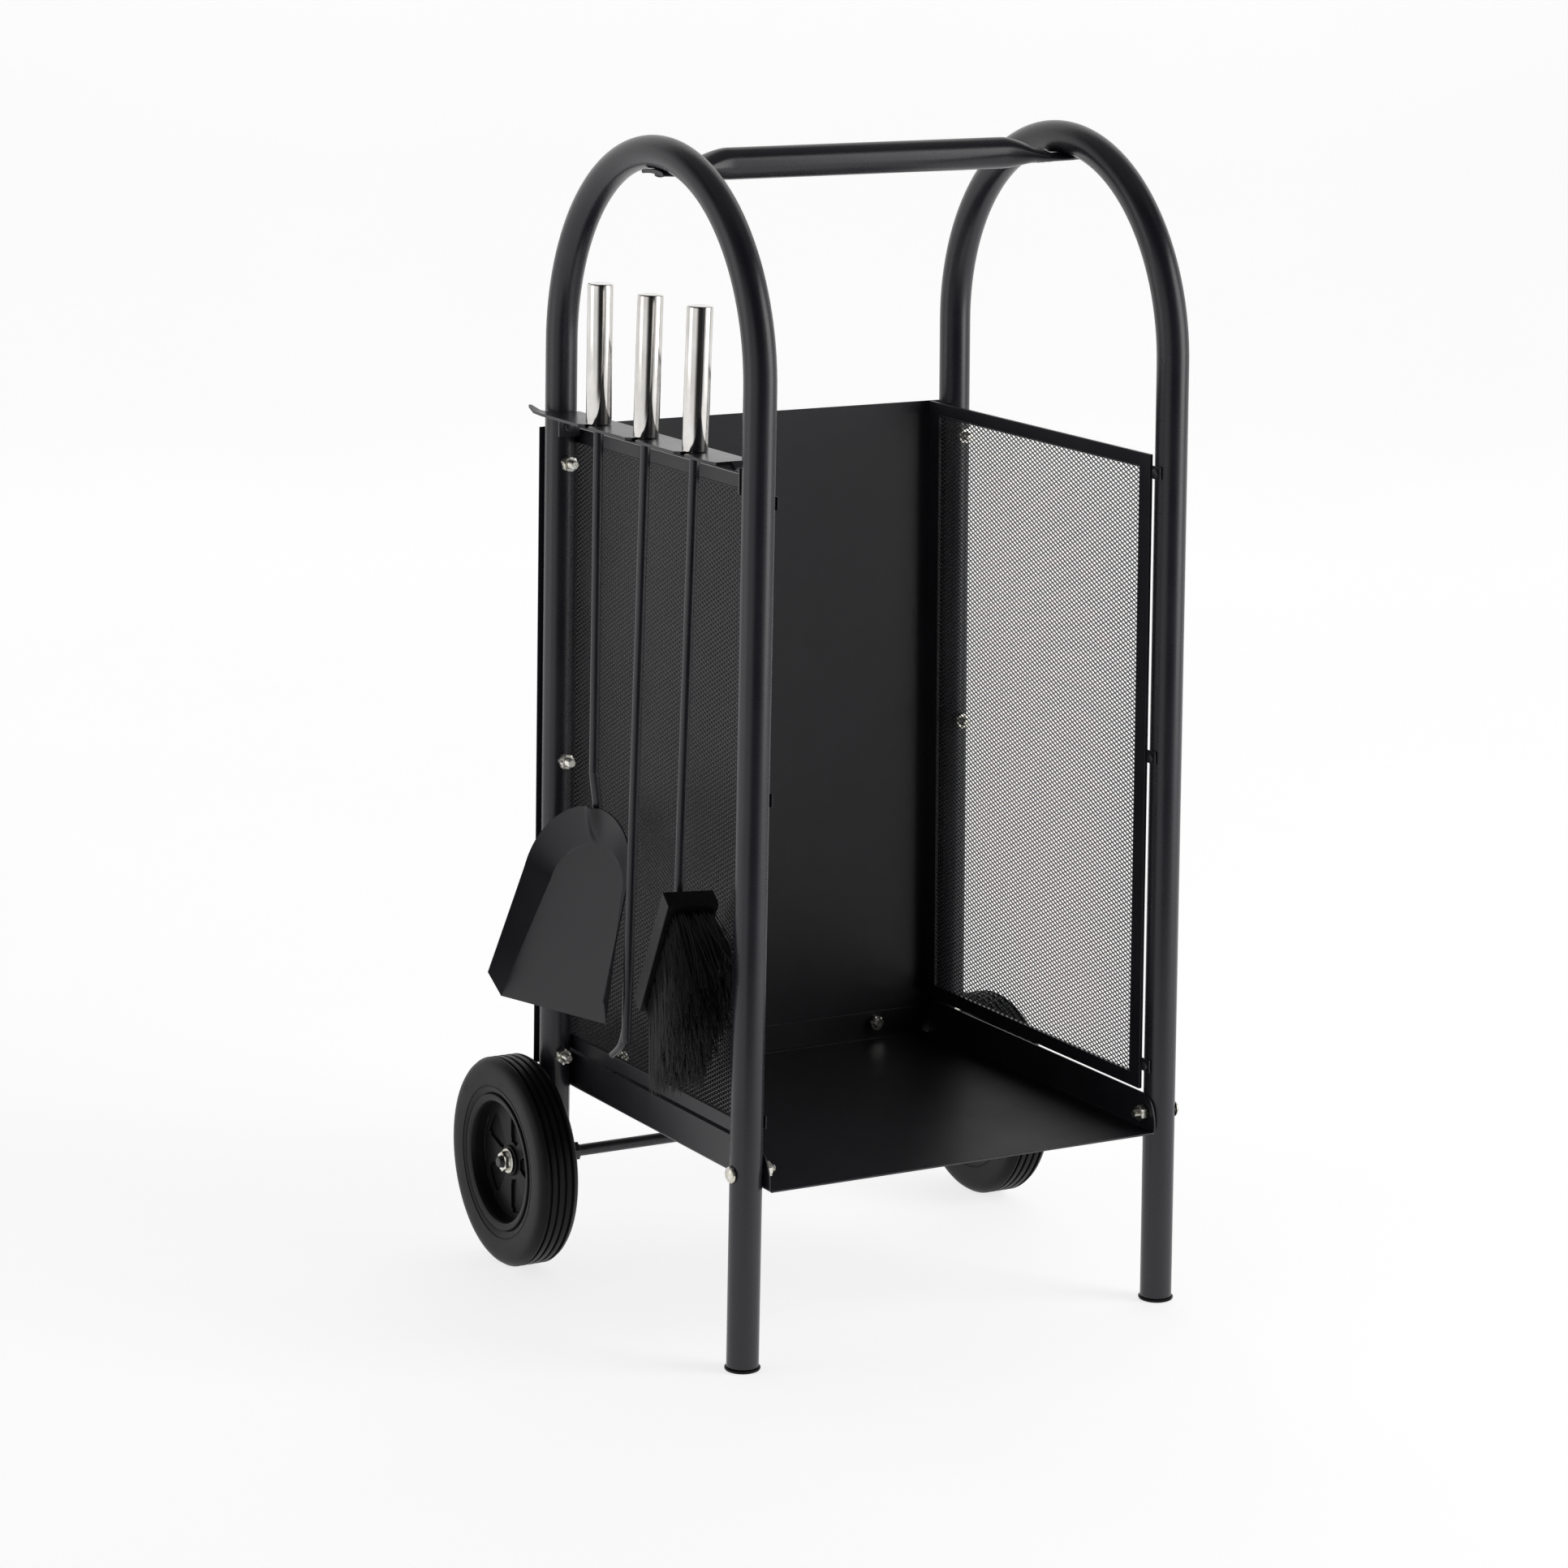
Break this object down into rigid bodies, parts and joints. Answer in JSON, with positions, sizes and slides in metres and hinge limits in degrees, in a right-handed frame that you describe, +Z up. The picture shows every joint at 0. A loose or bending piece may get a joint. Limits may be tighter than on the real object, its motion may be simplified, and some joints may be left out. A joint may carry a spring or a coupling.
{
  "type": "firewood log rack",
  "caption": "Upright firewood rack of bent tube hoops on wheels, with mesh sides, sheet back, kindling shelf, carrying bar and hanging fireside tools.",
  "frame": {"origin": "middle of the whole box in X and Y, on the floor", "axes": "+X to the right seen from the front, +Y to the back where the wheels are, +Z up"},
  "size_m": [0.4428, 0.3704, 0.8098],
  "materials": {
    "frame_coat": "satin black powder coat",
    "sheet_coat": "satin black powder coat on sheet",
    "mesh_coat": "black powder coat on expanded metal",
    "zinc": "bright zinc plating",
    "black_fastener": "black oxide, slightly glossy",
    "steel": "brushed stainless steel",
    "tyre": "moulded black rubber",
    "black_plastic": "moulded black plastic",
    "bristle": "black bristles"
  },
  "bodies": {
    "rack": {"left_hoop": "frame_coat", "left_panel_frame": "sheet_coat", "left_panel_mesh": "mesh_coat", "left_back_bolt_upper": "zinc", "left_back_nut_upper": "zinc", "left_side_screw_upper": "black_fastener", "left_back_bolt_middle": "zinc", "left_back_nut_middle": "zinc", "left_side_screw_middle": "black_fastener", "left_back_bolt_lower": "zinc", "left_back_nut_lower": "zinc", "left_side_screw_lower": "black_fastener", "left_shelf_front_bolt": "zinc", "left_shelf_front_nut": "zinc", "left_shelf_rear_bolt": "zinc", "left_shelf_rear_nut": "zinc", "left_foot_cap": "black_plastic", "left_axle_nut": "zinc", "left_axle_collar": "black_fastener", "left_bar_screw": "black_fastener", "right_hoop": "frame_coat", "right_panel_frame": "sheet_coat", "right_panel_mesh": "mesh_coat", "right_back_bolt_upper": "zinc", "right_back_nut_upper": "zinc", "right_side_screw_upper": "black_fastener", "right_back_bolt_middle": "zinc", "right_back_nut_middle": "zinc", "right_side_screw_middle": "black_fastener", "right_back_bolt_lower": "zinc", "right_back_nut_lower": "zinc", "right_side_screw_lower": "black_fastener", "right_shelf_front_bolt": "zinc", "right_shelf_front_nut": "zinc", "right_shelf_rear_bolt": "zinc", "right_shelf_rear_nut": "zinc", "right_foot_cap": "black_plastic", "right_axle_nut": "zinc", "right_axle_collar": "black_fastener", "right_bar_screw": "black_fastener", "carrying_bar": "frame_coat", "tool_strip": "frame_coat", "back_panel": "sheet_coat", "shelf_tray": "sheet_coat", "strip_screw_front": "black_fastener", "strip_screw_rear": "black_fastener", "axle": "black_fastener"},
    "left_wheel": {"left_tyre": "tyre", "left_wheel_centre": "black_plastic"},
    "right_wheel": {"right_tyre": "tyre", "right_wheel_centre": "black_plastic"},
    "shovel": {"shovel_grip": "steel", "shovel_rod": "frame_coat", "shovel_pan": "frame_coat"},
    "poker": {"poker_grip": "steel", "poker_rod": "frame_coat"},
    "brush": {"brush_grip": "steel", "brush_rod": "frame_coat", "brush_board": "black_plastic", "brush_bristles": "bristle"}
  },
  "joints": [
    {"name": "left_wheel_spin", "type": "hinge", "parent": "rack", "child": "left_wheel", "pos_m": [-0.18364, 0.11025, 0.075], "axis": [1, 0, 0], "continuous": true},
    {"name": "right_wheel_spin", "type": "hinge", "parent": "rack", "child": "right_wheel", "pos_m": [0.20636, 0.11025, 0.075], "axis": [1, 0, 0], "continuous": true},
    {"name": "shovel_lift_out", "type": "slide", "parent": "rack", "child": "shovel", "axis": [-0.6, 0, 0.8], "range_m": [0, 0.12]},
    {"name": "poker_lift_out", "type": "slide", "parent": "rack", "child": "poker", "axis": [0.0314, 0, 0.9995], "range_m": [0, 0.045]},
    {"name": "brush_lift_out", "type": "slide", "parent": "rack", "child": "brush", "axis": [-0.6, 0, 0.8], "range_m": [0, 0.12]}
  ]
}
